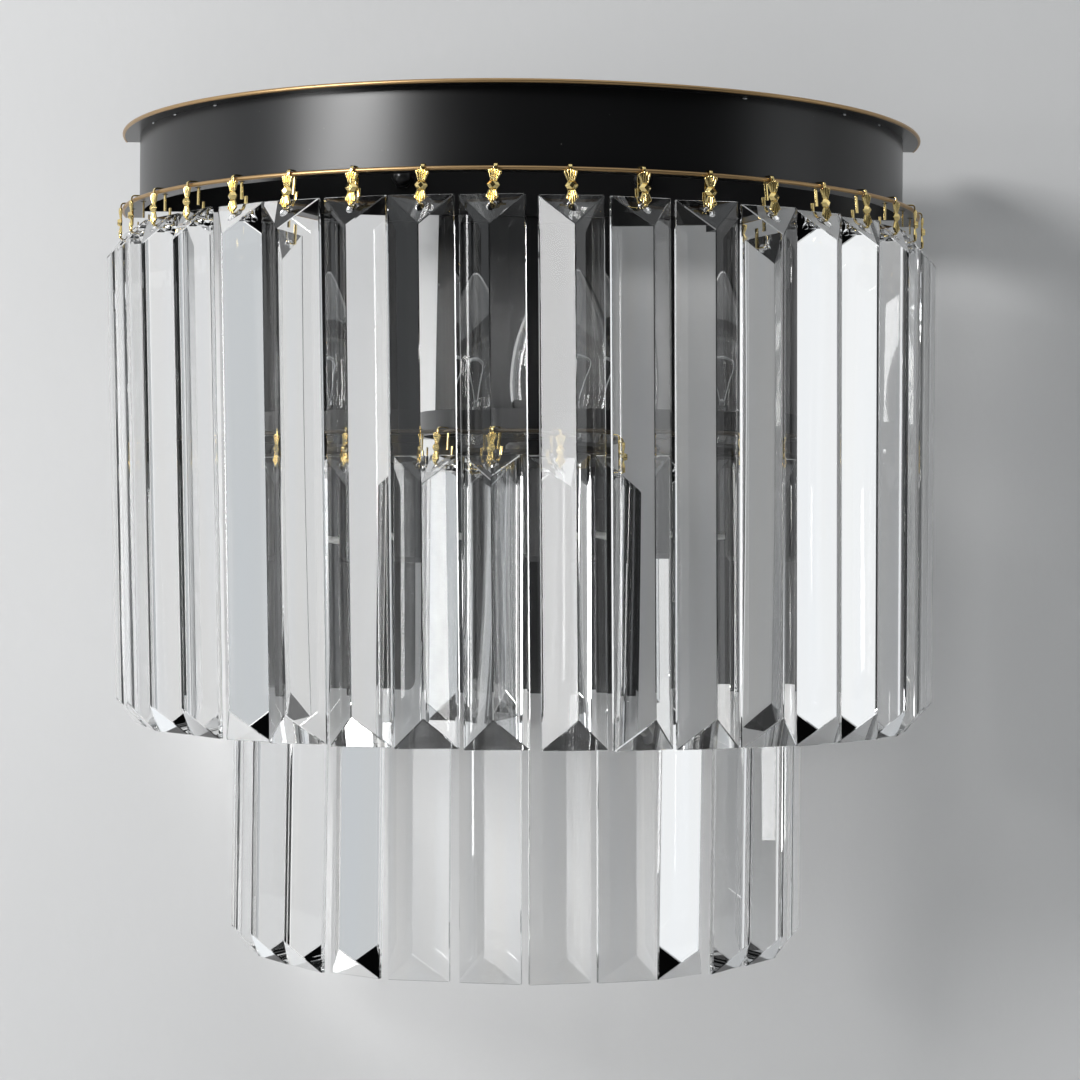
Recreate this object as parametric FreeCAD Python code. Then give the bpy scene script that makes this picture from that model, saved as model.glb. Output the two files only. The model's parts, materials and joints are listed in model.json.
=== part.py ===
"""Two-tier half-round wall sconce: a black drum and a smaller ring inside it, each hung with glass prisms.

Millimetres, +Z up. The wall is the plane y = 0 and the lamp faces -Y. The origin lies on the wall, midway
between the two studs that hold the lamp. Both tiers are half circles about the Z axis, so a place on a tier
is given by its radius, its height and its angle from straight ahead, positive towards +X.
"""

import FreeCAD, Part
import math
import os

Vector = FreeCAD.Vector
UP = Vector(0, 0, 1)
FORWARD = Vector(0, -1, 0)

# ---- clearances ----
NEST_GAP = 0.05          # between round faces of fixed pieces that nest
HANG_GAP = 0.3           # between a hanging or loose piece and what carries it
THREAD_GAP = 0.3         # between the bulb's cap and the holder's screw shell

# ---- sheet metal and the brass edges ----
SHEET = 1.2              # frame, flanges and back plate
EDGE_WIDTH = 1.0         # brass edge, radially
EDGE_HEIGHT = 1.4        # brass edge, over its rounded face

# ---- drum ----
DRUM_R = 150.0           # to the outside of the brass edges
DRUM_HEIGHT = 29.7       # over both flanges
DRUM_LOW = -14.6         # underside of the lower flange
FLANGE_REACH = 6.5       # flange and brass edge beyond the band

# ---- lower tier's ring ----
RING_R = 102.0           # to the outside of its brass edge
TIER_DROP = 84.0         # from the drum's lower flange down to the ring's flange
RING_BAND_HEIGHT = 7.4   # the ring's band, above its flange

# ---- back plate, a shallow pan open to the wall ----
PLATE_WIDTH = 190.0
PLATE_TOP = 12.0
PLATE_LOW = -193.0
PLATE_DEPTH = 10.0       # front face from the wall
PLATE_CORNER_R = 5.0

# ---- prisms ----
PRISM_WIDTH = 22.0
PRISM_LENGTH = 182.5
PRISM_DEPTH = 9.5        # flat back to the front ridge
PRISM_SIDE = 1.5         # narrow side faces, and the thickness left at each end
PRISM_END = 10.5         # length of the sloping triangle at each end
PRISM_GAP = 1.7          # between the back edges of two neighbours
PRISM_BACK_INSET = 4.4   # flat back inside the flange's brass edge
PRISM_TOP_DROP = 8.3     # prism's top below the middle of the flange
HOLE_DROP = 4.5          # hole's centre below the prism's top
HOLE_R = 1.5
END_GAP = 1.5            # least distance of the end prisms from the back plate's face

# ---- bow-tie clips ----
CLIP_T = 0.5             # strip thickness
CLIP_LEG_WIDTH = 1.1
CLIP_TOP_BEND_R = 1.2    # bends over the brass edge, to the strip's middle
CLIP_BEND_R = 0.5        # all other bends
CLIP_NECK_WIDTH = 2.4
CLIP_BEAD_DROP = 5.8     # bead's middle below the middle of the flange
CLIP_BEAD_WIDTH = 4.3
CLIP_BEAD_HEIGHT = 3.2
CLIP_BEAD_RISE = 1.0
CLIP_BEAD_TABLE = 0.45   # bead's front facet, as a share of its outline
CLIP_FAN_R = 5.4         # upper fan's scalloped rim, from the bead's middle
CLIP_FAN_ANGLE = math.radians(26)   # from the middle of a fan to its side
CLIP_SCALLOP = 0.2       # depth of a notch between two ribs
CLIP_TAIL_R = 4.7        # lower fan's corners, from the bead's middle
CLIP_RIBS = 5            # on each fan
CLIP_GROOVE_WIDTH = 0.34
CLIP_GROOVE_DEPTH = 0.22
CLIP_FRONT_GAP = 0.6     # strip in front of the brass edge
CLIP_HOLE_INSET = 3.6    # flange hole inside the brass edge
CLIP_HOLE_R = 1.1
CLIP_REAR_LENGTH = 6.5   # rear leg below the middle of the flange
CLIP_FOLD_BEHIND = 1.15  # folded-up leg behind the prism's back
CLIP_FOLD_RISE = 5.8     # folded-up leg above the prong
PRONG_SLOPE = math.radians(11)   # the prong falls this much behind the pivot, so that a prism can swing out

# ---- wall bracket ----
BRACKET_LENGTH = 116.0
BRACKET_WIDTH = 18.0
BRACKET_T = 2.0
WALL_HOLE_R = 2.25
WALL_HOLE_SPACING = 60.0
EARTH_X = 15.0           # earth screw, to one side of the middle
STUD_SPACING = 90.0
STUD_R = 2.0
STUD_PASS_R = 2.3        # holes that the studs pass through
STUD_LOCK_AF = 7.0       # lock nut's width across flats
STUD_LOCK_T = 2.4
NUT_AF = 7.0
NUT_T = 3.2
NUT_DOME_R = 3.3
NUT_HEIGHT = 9.0
NUT_BORE = 7.4
STUD_END_GAP = 0.8       # left in the blind nut

# ---- screws ----
SCREW_R = 2.0
SCREW_HEAD_R = 3.6
SCREW_HEAD_T = 2.2
SCREW_LENGTH = 6.0
SLOT_WIDTH = 0.9
SLOT_DEPTH = 1.0

# ---- lamp bracket and holders ----
LAMP_SPACING = 54.0      # between the two bulbs
LAMP_FORWARD = 60.0      # bulbs' axes from the wall
SHELF_Z = -104.0         # top of the lamp bracket's shelf
SHELF_WIDTH = 98.0
SHELF_FRONT = 80.0       # shelf's front edge from the wall
SHELF_CORNER_R = 18.0
TAB_HEIGHT = 15.0        # bracket's tab, down the back plate
SKIRT_R = 14.2
SKIRT_RISE = 3.0         # holder's mouth above the shelf
MOUTH_R = 12.6
SHOULDER_R = 17.0
SHOULDER_T = 2.5
HOLDER_HEIGHT = 42.0     # mouth to bottom
HOLDER_FOOT_R = 12.0
SHADE_RING_R = 18.5
CAP_ROOM = 10.0          # bulb's glass starts this far below the mouth
CAP_SKIRT_R = 8.5
CAP_SKIRT_H = 5.0
CAP_SKIRT_ROOM = 0.6     # holder's bore round the cap's skirt
CAP_NOSE = 1.2           # insulator inside the thread's radius
CAP_THREAD_R = 6.95
CAP_THREAD_H = 13.5
CAP_TIP_R = 2.6
CAP_HEIGHT = 25.0
SHELL_T = 0.5
CONTACT_WIDTH = 5.0
CONTACT_T = 0.5
CONTACT_RISE = 2.6
CONTACT_LIP = 0.6        # leaf's free end, as a share of its half width
HOLDER_CHAMFER = 2.0
HOLDER_TAPER_TOP = 8.0   # holder's taper ends this far below its shoulder
HOLDER_WAIST = 0.6       # holder's body inside its skirt's radius
SHOULDER_CHAMFER = 1.0
RING_STEP = 0.4          # shade ring's top below the holder's mouth
RING_CHAMFER = 1.0
THREAD_TURNS = 5
THREAD_DEPTH = 0.6
TIP_BEVEL = 0.5
TIP_RISE = 1.5           # straight side of the cap's tip, with its bevel

# ---- bulb glass ----
BULB_R = 17.5
BULB_HEIGHT = 73.0       # glass above the cap
BULB_BELLY_H = 31.0      # height of the widest place
BULB_NECK_R = 8.1
BULB_NECK_H = 2.0        # straight part of the neck
BULB_FLARE_R = 15.0      # hollow curve from the neck to the belly
BULB_TIP_R = 3.0
GLASS_T = 0.8

# ---- wiring ----
BLOCK_SIZE = Vector(18.0, 6.5, 15.0)
BLOCK_LOW = -110.0
BLOCK_POLES = 2
POLE_PITCH = 8.0
POLE_R = 1.4
GROMMET_Z = -132.0
GROMMET_WALL = 1.2       # rubber round the bore
GROMMET_FLANGE = 2.0     # lips beyond the hole in the plate
GROMMET_FLANGE_T = 1.2
LEAD_R = 1.3
LEAD_ROOM = 0.9          # between a lead's side and the grommet's bore
LEAD_BEND_R = 8.0
LEAD_RUN = 30.0          # straight part's end from the wall
LEAD_ENTRY_Z = -136.0
LEAD_ENTRY_DEPTH = 3.0   # how far a lead goes into its holder

# ---- worked out ----
BAND_R = DRUM_R - FLANGE_REACH
DRUM_TOP = DRUM_LOW + DRUM_HEIGHT
DRUM_FLANGE_MID = DRUM_LOW + SHEET / 2
RING_BAND_R = RING_R - FLANGE_REACH
RING_FLANGE_MID = DRUM_FLANGE_MID - TIER_DROP
RING_LOW = RING_FLANGE_MID - SHEET / 2
PRONG_DROP = PRISM_TOP_DROP + HOLE_DROP - (HOLE_R - HANG_GAP - CLIP_T / 2)
MOUTH_Z = SHELF_Z + SKIRT_RISE
GLASS_LOW = MOUTH_Z - CAP_ROOM
LAMP_X = LAMP_SPACING / 2
CONTACT_WELL_R = CAP_THREAD_R - CAP_NOSE / 2
BLOCK_MIDDLE = PLATE_DEPTH - SHEET - BLOCK_SIZE.y / 2
LEAD_X = POLE_PITCH / 2
LEAD_BEND_IN = LEAD_BEND_R - (PLATE_DEPTH - SHEET / 2 - BLOCK_MIDDLE)
LEAD_DROP = LEAD_BEND_R - math.sqrt(LEAD_BEND_R ** 2 - LEAD_BEND_IN ** 2)
GROMMET_BORE_R = LEAD_X + LEAD_R + LEAD_ROOM
GROMMET_NECK_R = GROMMET_BORE_R + GROMMET_WALL
GROMMET_FLANGE_R = GROMMET_NECK_R + GROMMET_FLANGE


# ---- general shapes ----

def box(low, high):
    """A box between two corners."""
    size = high - low
    return Part.makeBox(size.x, size.y, size.z, low)


def rod(radius, start, end):
    """A round bar between two points."""
    along = end - start
    return Part.makeCylinder(radius, along.Length, start, along)


def polygon(points):
    return Part.Face(Part.makePolygon(points + [points[0]]))


def half_turned(outline):
    """Half a turn, round the front, of an outline given as (radius, height) points."""
    face = polygon([Vector(r, 0, z) for r, z in outline])
    return face.revolve(Vector(0, 0, 0), -UP, 180)


def turned(outline, centre):
    """A full turn of (radius, height) points about the upright axis through centre."""
    face = polygon([Vector(r, 0, z) for r, z in outline])
    solid = face.revolve(Vector(0, 0, 0), UP, 360)
    solid.translate(centre)
    return solid


def half_ring(inner, outer, low, high):
    return half_turned([(inner, low), (outer, low), (outer, high), (inner, high)])


def hexagon_bar(across_flats, start, length):
    """A hexagonal bar that runs forward from start."""
    corner = across_flats / 2 / math.cos(math.pi / 6)
    turns = [math.pi / 3 * i for i in range(6)]
    face = polygon([start + Vector(corner * math.cos(a), 0, corner * math.sin(a)) for a in turns])
    return face.extrude(FORWARD * length)


def bent_wire(points, bends):
    """Straight runs between points, with each corner rounded by a tangent arc of its own radius."""
    edges = []
    at = points[0]
    for before, corner, after, radius in zip(points, points[1:], points[2:], bends):
        into, out = corner - before, after - corner
        turn = into.getAngle(out)
        cut_back = radius * math.tan(turn / 2)
        into.normalize()
        out.normalize()
        arc_start, arc_end = corner - into * cut_back, corner + out * cut_back
        rise = radius / math.cos(turn / 2) - radius
        bow = corner + (out - into).normalize() * rise
        edges += [Part.makeLine(at, arc_start), Part.Arc(arc_start, bow, arc_end).toShape()]
        at = arc_end
    edges.append(Part.makeLine(at, points[-1]))
    return Part.Wire(edges)


def turned_to(shape, angle):
    """A copy of what was drawn pointing along +X, turned to an angle from straight ahead."""
    copy = shape.copy()
    copy.rotate(Vector(0, 0, 0), UP, math.degrees(angle) - 90)
    return copy


def half_width_at(radius, forward):
    """Half the inside width of a half circle at a distance from the wall."""
    return math.sqrt(radius ** 2 - forward ** 2)


def in_front_of_plate(shape):
    """The shape without what would reach behind the back plate's face."""
    reach = DRUM_R * 2
    return shape.cut(box(Vector(-reach, -PLATE_DEPTH, -reach * 2), Vector(reach, reach, reach)))


# ---- where the prisms hang ----

def hang_angles(edge_r):
    """Angles of one tier's prisms: as many as fit side by side in front of the back plate."""
    back_r = edge_r - PRISM_BACK_INSET
    pitch = 2 * math.atan((PRISM_WIDTH + PRISM_GAP) / 2 / back_r)
    corner_r = math.hypot(back_r, PRISM_WIDTH / 2)
    corner_angle = math.atan(PRISM_WIDTH / 2 / back_r)
    sweep = math.acos((PLATE_DEPTH + END_GAP) / corner_r) - corner_angle
    count = 1 + int(2 * sweep / pitch)
    return [pitch * (i - (count - 1) / 2) for i in range(count)]


DRUM_ANGLES = hang_angles(DRUM_R)
RING_ANGLES = hang_angles(RING_R)


# ---- prisms ----

def prism(edge_r, flange_mid):
    """One prism pointing along +X: flat back, side faces, two long facets and a triangle at each end."""
    back = edge_r - PRISM_BACK_INSET
    top = flange_mid - PRISM_TOP_DROP
    low = top - PRISM_LENGTH
    half = PRISM_WIDTH / 2
    section = [(back, -half), (back + PRISM_SIDE, -half), (back + PRISM_DEPTH, 0),
               (back + PRISM_SIDE, half), (back, half)]
    bar = polygon([Vector(x, y, low) for x, y in section]).extrude(UP * PRISM_LENGTH)
    slope = (PRISM_DEPTH - PRISM_SIDE) / PRISM_END
    reach = PRISM_DEPTH * 2
    for end, inward in ((top, -1), (low, 1)):
        waste = polygon([Vector(back + PRISM_SIDE - slope, -PRISM_WIDTH, end - inward),
                         Vector(back + reach, -PRISM_WIDTH, end - inward),
                         Vector(back + reach, -PRISM_WIDTH, end + inward * (reach - PRISM_SIDE) / slope)])
        bar = bar.cut(waste.extrude(Vector(0, PRISM_WIDTH * 2, 0)))
    hole_z = top - HOLE_DROP
    return bar.cut(rod(HOLE_R, Vector(back - 1, 0, hole_z), Vector(back + reach, 0, hole_z)))


# ---- clips ----

def fan_ray(reach, angle):
    """A point (across, height) from the bead's middle, at an angle from straight up."""
    return reach * math.sin(angle), reach * math.cos(angle) - CLIP_BEAD_DROP


def bow_tie():
    """The clip's front outline as (across, height) points, height counted from the middle of the flange: a
    fan with a scalloped rim, a neck, and a lower fan that narrows to the prong."""
    steps = CLIP_RIBS * 2
    rim = []
    for i in range(steps + 1):
        notch = CLIP_SCALLOP if i % 2 == 0 else 0
        rim.append(fan_ray(CLIP_FAN_R - notch, CLIP_FAN_ANGLE * (1 - 2 * i / steps)))
    neck, half_bead = CLIP_NECK_WIDTH / 2, CLIP_BEAD_HEIGHT / 2
    across, rise = fan_ray(CLIP_TAIL_R, math.pi - CLIP_FAN_ANGLE)
    left = [(-neck, half_bead - CLIP_BEAD_DROP), (-neck, -half_bead - CLIP_BEAD_DROP), (-across, rise),
            (-CLIP_LEG_WIDTH / 2, CLIP_BEND_R - PRONG_DROP)]
    return rim + left + [(-x, z) for x, z in reversed(left)]


def fan_grooves(face_x, flange_mid):
    """Cutters for the grooves between the ribs of both fans, spreading from the bead's middle."""
    half, start = CLIP_GROOVE_WIDTH / 2, CLIP_BEAD_HEIGHT / 2
    section = [(face_x - CLIP_GROOVE_DEPTH, 0), (face_x, half), (face_x + CLIP_T, half),
               (face_x + CLIP_T, -half), (face_x, -half)]
    cutter = polygon([Vector(x, y, start) for x, y in section]).extrude(UP * CLIP_FAN_R)
    middle = Vector(0, 0, flange_mid - CLIP_BEAD_DROP)
    cutters = []
    for flip in (0, 180):
        for i in range(1, CLIP_RIBS):
            groove = cutter.copy()
            turn = math.degrees(CLIP_FAN_ANGLE) * (1 - 2 * i / CLIP_RIBS)
            groove.rotate(Vector(0, 0, 0), Vector(1, 0, 0), turn + flip)
            groove.translate(middle)
            cutters.append(groove)
    return cutters


def clip(edge_r, flange_mid):
    """One clip pointing along +X, bent from strip: over the edge, down the front, back through the prism's
    hole and up behind it."""
    front = edge_r + CLIP_FRONT_GAP + CLIP_T / 2
    over = EDGE_HEIGHT / 2 + HANG_GAP + CLIP_T / 2
    rear = edge_r - CLIP_HOLE_INSET
    back = edge_r - PRISM_BACK_INSET
    pivot = pivot_radius(edge_r)
    fold = back - CLIP_FOLD_BEHIND
    fold_z = -PRONG_DROP - (pivot - fold) * math.tan(PRONG_SLOPE)
    path = [(rear, -CLIP_REAR_LENGTH), (rear, over), (front, over), (front, -PRONG_DROP),
            (pivot, -PRONG_DROP), (fold, fold_z), (fold, CLIP_FOLD_RISE - PRONG_DROP)]
    bends = [CLIP_TOP_BEND_R] * 2 + [CLIP_BEND_R] * 3
    line = bent_wire([Vector(x, 0, flange_mid + z) for x, z in path], bends)
    strip_face = line.makeOffset2D(CLIP_T / 2, 2, True, False, False)
    strip = strip_face.extrude(Vector(0, CLIP_LEG_WIDTH, 0))
    strip.translate(Vector(0, -CLIP_LEG_WIDTH / 2, 0))
    plate_back = edge_r + CLIP_FRONT_GAP
    plate = polygon([Vector(plate_back, y, flange_mid + z) for y, z in bow_tie()])
    plate = plate.extrude(Vector(CLIP_T, 0, 0))
    face_x = plate_back + CLIP_T
    ribbed = strip.fuse(plate).cut(fan_grooves(face_x, flange_mid))
    return ribbed.fuse(clip_bead(face_x, flange_mid)).removeSplitter()


def clip_bead(face_x, flange_mid):
    """The faceted bead in the middle of the bow."""
    wide, high = CLIP_BEAD_WIDTH / 2, CLIP_BEAD_HEIGHT / 2
    corners = [(-wide, 0), (-wide / 2, high), (wide / 2, high), (wide, 0), (wide / 2, -high),
               (-wide / 2, -high)]

    def ring(x, share):
        points = [Vector(x, y * share, flange_mid - CLIP_BEAD_DROP + z * share) for y, z in corners]
        return Part.makePolygon(points + [points[0]])

    table = ring(face_x + CLIP_BEAD_RISE, CLIP_BEAD_TABLE)
    return Part.makeLoft([ring(face_x - CLIP_T, 1.0), table], True, True)


def pivot_radius(edge_r):
    """Radius of the line that a prism swings about: through its centre of mass, so that it hangs upright."""
    side_area = PRISM_SIDE * PRISM_WIDTH
    ridge_area = (PRISM_DEPTH - PRISM_SIDE) * PRISM_WIDTH / 2
    ridge_centre = PRISM_SIDE + (PRISM_DEPTH - PRISM_SIDE) / 3
    centre = (side_area * PRISM_SIDE / 2 + ridge_area * ridge_centre) / (side_area + ridge_area)
    return edge_r - PRISM_BACK_INSET + centre


# ---- drum, ring and back plate ----

def brass_edge(edge_r, flange_mid):
    """A bead round a flange's rim, rounded outside."""
    inner, outer, half = edge_r - EDGE_WIDTH + NEST_GAP, edge_r, EDGE_HEIGHT / 2
    start, end = Vector(inner, 0, flange_mid - half), Vector(inner, 0, flange_mid + half)
    bow = Part.Arc(end, Vector(outer, 0, flange_mid), start).toShape()
    face = Part.Face(Part.Wire([Part.makeLine(start, end), bow]))
    return face.revolve(Vector(0, 0, 0), -UP, 180)


def flange(edge_r, low, angles):
    """A flat half ring with a hole for each clip."""
    band_r = edge_r - FLANGE_REACH
    ring = half_ring(band_r - SHEET, edge_r - EDGE_WIDTH, low, low + SHEET)
    hole_r = edge_r - CLIP_HOLE_INSET
    drill = rod(CLIP_HOLE_R, Vector(hole_r, 0, low - SHEET), Vector(hole_r, 0, low + SHEET * 2))
    if angles:
        ring = ring.cut([turned_to(drill, a) for a in angles])
    return ring


def back_strip(band_r, low, high, holes):
    """The straight strip that closes a band along the back plate. holes: (x, z, radius)."""
    half = half_width_at(band_r - SHEET, PLATE_DEPTH + SHEET) - NEST_GAP
    strip = box(Vector(-half, -PLATE_DEPTH - SHEET, low), Vector(half, -PLATE_DEPTH, high))
    for x, z, radius in holes:
        strip = strip.cut(plate_drill(x, z, radius))
    return strip


def plate_drill(x, z, radius):
    """A cutter through the back plate's face and whatever lies on it."""
    return rod(radius, Vector(x, -PLATE_DEPTH - SHEET * 2, z), Vector(x, -PLATE_DEPTH + SHEET * 2, z))


def back_plate():
    half = PLATE_WIDTH / 2
    pan = box(Vector(-half, -PLATE_DEPTH, PLATE_LOW), Vector(half, 0, PLATE_TOP))
    pan = pan.makeFillet(PLATE_CORNER_R, edges_along_y(pan))
    pocket = box(Vector(-half + SHEET, -PLATE_DEPTH + SHEET, PLATE_LOW + SHEET),
                 Vector(half - SHEET, 0, PLATE_TOP - SHEET))
    pocket = pocket.makeFillet(PLATE_CORNER_R - SHEET, edges_along_y(pocket))
    pan = pan.cut(pocket)
    for x, z, radius in STUD_HOLES + FRAME_SCREW_HOLES:
        pan = pan.cut(plate_drill(x, z, radius))
    return pan.cut(plate_drill(0, GROMMET_Z, GROMMET_NECK_R + NEST_GAP))


def edges_along_y(solid):
    return [e for e in solid.Edges if abs(e.Vertexes[0].Point.y - e.Vertexes[1].Point.y) > PLATE_DEPTH / 2]


# ---- wall bracket, studs, nuts and screws ----

STUD_HOLES = [(side * STUD_SPACING / 2, 0, STUD_PASS_R) for side in (-1, 1)]
RING_SCREW_Z = RING_LOW + SHEET + RING_BAND_HEIGHT / 2
TAB_SCREW_Z = SHELF_Z - SHEET - TAB_HEIGHT / 2
RING_SCREW_X = PLATE_WIDTH / 3
TAB_SCREW_X = SHELF_WIDTH / 2 - 2 * SCREW_HEAD_R
SCREW_PASS_R = SCREW_R + NEST_GAP
RING_SCREW_HOLES = [(side * RING_SCREW_X, RING_SCREW_Z, SCREW_PASS_R) for side in (-1, 1)]
TAB_SCREW_HOLES = [(side * TAB_SCREW_X, TAB_SCREW_Z, SCREW_PASS_R) for side in (-1, 1)]
FRAME_SCREW_HOLES = RING_SCREW_HOLES + TAB_SCREW_HOLES


def wall_bracket():
    """The bar that is screwed to the wall, with empty holes for the wall screws."""
    straight = (BRACKET_LENGTH - BRACKET_WIDTH) / 2
    end_r = BRACKET_WIDTH / 2
    bar = box(Vector(-straight, -BRACKET_T, -end_r), Vector(straight, 0, end_r))
    for side in (-1, 1):
        bar = bar.fuse(rod(end_r, Vector(side * straight, 0, 0), Vector(side * straight, -BRACKET_T, 0)))
    bar = bar.removeSplitter()
    holes = [(side * WALL_HOLE_SPACING / 2, WALL_HOLE_R) for side in (-1, 1)]
    holes += [(side * STUD_SPACING / 2, STUD_R + NEST_GAP) for side in (-1, 1)]
    holes += [(EARTH_X, SCREW_R + NEST_GAP)]
    for x, radius in holes:
        bar = bar.cut(rod(radius, Vector(x, 1, 0), Vector(x, -BRACKET_T - 1, 0)))
    return bar


def bracket_stud(x):
    """A stud with its lock nut, from the wall forward through the back plate."""
    end = PLATE_DEPTH + SHEET + NUT_BORE - STUD_END_GAP
    stud = rod(STUD_R, Vector(x, 0, 0), Vector(x, -end, 0))
    return stud.fuse(hexagon_bar(STUD_LOCK_AF, Vector(x, -BRACKET_T, 0), STUD_LOCK_T))


def cap_nut(x):
    """A domed nut that clamps the drum's back strip and the back plate."""
    seat = Vector(x, -PLATE_DEPTH - SHEET, 0)
    top = NUT_HEIGHT - NUT_DOME_R
    nut = hexagon_bar(NUT_AF, seat, NUT_T).fuse(rod(NUT_DOME_R, seat, seat + FORWARD * top))
    nut = nut.fuse(Part.makeSphere(NUT_DOME_R, seat + FORWARD * top)).removeSplitter()
    behind = box(seat + Vector(-NUT_AF, 0, -NUT_AF), seat + Vector(NUT_AF, NUT_AF, NUT_AF))
    return nut.cut(behind).cut(rod(STUD_R + NEST_GAP, seat - FORWARD, seat + FORWARD * NUT_BORE))


def pan_screw(seat, length):
    """A slotted pan-head screw whose head stands forward of its seat."""
    screw = rod(SCREW_R, seat - FORWARD * length, seat)
    head = rod(SCREW_HEAD_R, seat, seat + FORWARD * SCREW_HEAD_T)
    front_edges = [e for e in head.Edges if abs(e.CenterOfMass.y - (seat.y - SCREW_HEAD_T)) < 0.01]
    head = head.makeFillet(SCREW_HEAD_T / 2, front_edges)
    slot = box(seat + Vector(-SCREW_HEAD_R, -SCREW_HEAD_T - 1, -SLOT_WIDTH / 2),
               seat + Vector(SCREW_HEAD_R, -SCREW_HEAD_T + SLOT_DEPTH, SLOT_WIDTH / 2))
    return screw.fuse(head).cut(slot)


def frame_screws():
    """The screws that hold the ring and the lamp bracket to the back plate."""
    seat_y = -PLATE_DEPTH - SHEET
    return [pan_screw(Vector(x, seat_y, z), SCREW_LENGTH) for x, z, _ in FRAME_SCREW_HOLES]


# ---- lamp bracket, holders and bulbs ----

def lamp_centre(side):
    return Vector(side * LAMP_X, -LAMP_FORWARD, 0)


def lamp_bracket():
    """A folded shelf with two round holes and a tab that is screwed to the back plate."""
    half = SHELF_WIDTH / 2
    low = SHELF_Z - SHEET
    shelf = box(Vector(-half, -SHELF_FRONT, low), Vector(half, -PLATE_DEPTH, SHELF_Z))
    front = [e for e in shelf.Edges if abs(e.CenterOfMass.y + SHELF_FRONT) < 0.01
             and abs(e.CenterOfMass.x) > half - 0.01]
    shelf = shelf.makeFillet(SHELF_CORNER_R, front)
    tab = box(Vector(-half, -PLATE_DEPTH - SHEET, low - TAB_HEIGHT), Vector(half, -PLATE_DEPTH, SHELF_Z))
    folded = shelf.fuse(tab).removeSplitter()
    for side in (-1, 1):
        centre = lamp_centre(side)
        hole = Part.makeCylinder(SKIRT_R + NEST_GAP, SHEET * 3, centre + UP * (low - SHEET))
        folded = folded.cut(hole)
    for x, z, radius in TAB_SCREW_HOLES:
        folded = folded.cut(plate_drill(x, z, radius))
    return folded


def lampholder(side):
    """A plastic candle holder whose skirt stands through the shelf, drilled at the side for its lead."""
    low = MOUTH_Z - HOLDER_HEIGHT
    shelf_low = SHELF_Z - SHEET
    seat = GLASS_LOW - CAP_SKIRT_H - HANG_GAP
    shell_low = seat - CAP_THREAD_H
    shell_r = CAP_THREAD_R + THREAD_GAP + SHELL_T + NEST_GAP
    waist_r, shoulder_low = SKIRT_R - HOLDER_WAIST, shelf_low - SHOULDER_T
    skirt_bore, well_top = CAP_SKIRT_R + CAP_SKIRT_ROOM, shell_low - SHELL_T
    outside = [(HOLDER_FOOT_R - HOLDER_CHAMFER, low), (HOLDER_FOOT_R, low + HOLDER_CHAMFER),
               (waist_r, shoulder_low - HOLDER_TAPER_TOP), (waist_r, shoulder_low - HOLDER_CHAMFER),
               (SHOULDER_R - SHOULDER_CHAMFER, shoulder_low), (SHOULDER_R, shoulder_low + SHOULDER_CHAMFER),
               (SHOULDER_R, shelf_low), (SKIRT_R, shelf_low), (SKIRT_R, MOUTH_Z)]
    inside = [(MOUTH_R, MOUTH_Z), (MOUTH_R, GLASS_LOW - HANG_GAP), (skirt_bore, GLASS_LOW - HANG_GAP),
              (skirt_bore, seat), (shell_r, seat), (shell_r, well_top), (CONTACT_WELL_R, well_top),
              (CONTACT_WELL_R, contact_floor()), (0, contact_floor())]
    body = turned([(0, low)] + outside + inside, lamp_centre(side))
    start, end = lead_entry(side)
    return body.cut(rod(LEAD_R + HANG_GAP, start, end))


def contact_floor():
    """Height of the holder's inner floor, where the centre contact sits."""
    return GLASS_LOW - CAP_HEIGHT - HANG_GAP - CONTACT_RISE


def shade_ring(side):
    """The ring that screws down the skirt onto the shelf, with a bevelled rim."""
    inner, high = SKIRT_R + NEST_GAP, MOUTH_Z - RING_STEP
    outline = [(inner, SHELF_Z), (SHADE_RING_R, SHELF_Z), (SHADE_RING_R, high - RING_CHAMFER),
               (SHADE_RING_R - RING_CHAMFER, high), (inner, high)]
    return turned(outline, lamp_centre(side))


def screw_shell(side):
    """The brass tube that takes the cap's thread."""
    inner = CAP_THREAD_R + THREAD_GAP
    high = GLASS_LOW - CAP_SKIRT_H - HANG_GAP
    low = high - CAP_THREAD_H
    outline = [(inner, low), (inner + SHELL_T, low), (inner + SHELL_T, high), (inner, high)]
    return turned(outline, lamp_centre(side))


def centre_contact(side):
    """A bent leaf under the bulb's tip."""
    floor = contact_floor()
    half = CONTACT_WIDTH / 2
    lip, high = half * CONTACT_LIP, floor + CONTACT_RISE
    line = [(-half, floor), (half, floor), (half, floor + CONTACT_T),
            (-half + CONTACT_T * 2, floor + CONTACT_T), (lip, high - CONTACT_T), (lip, high),
            (-half, floor + CONTACT_T * 1.5)]
    leaf = polygon([Vector(x, 0, z) for x, z in line]).extrude(Vector(0, CONTACT_WIDTH / 2, 0))
    leaf.translate(lamp_centre(side) + Vector(0, -CONTACT_WIDTH / 4, 0))
    return leaf


def round_arc(centre, radius, start, end):
    """An arc in the upright plane y = 0, between two angles from +X towards +Z."""
    points = [centre + Vector(math.cos(a), 0, math.sin(a)) * radius for a in (start, (start + end) / 2, end)]
    return Part.Arc(*points).toShape()


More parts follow.
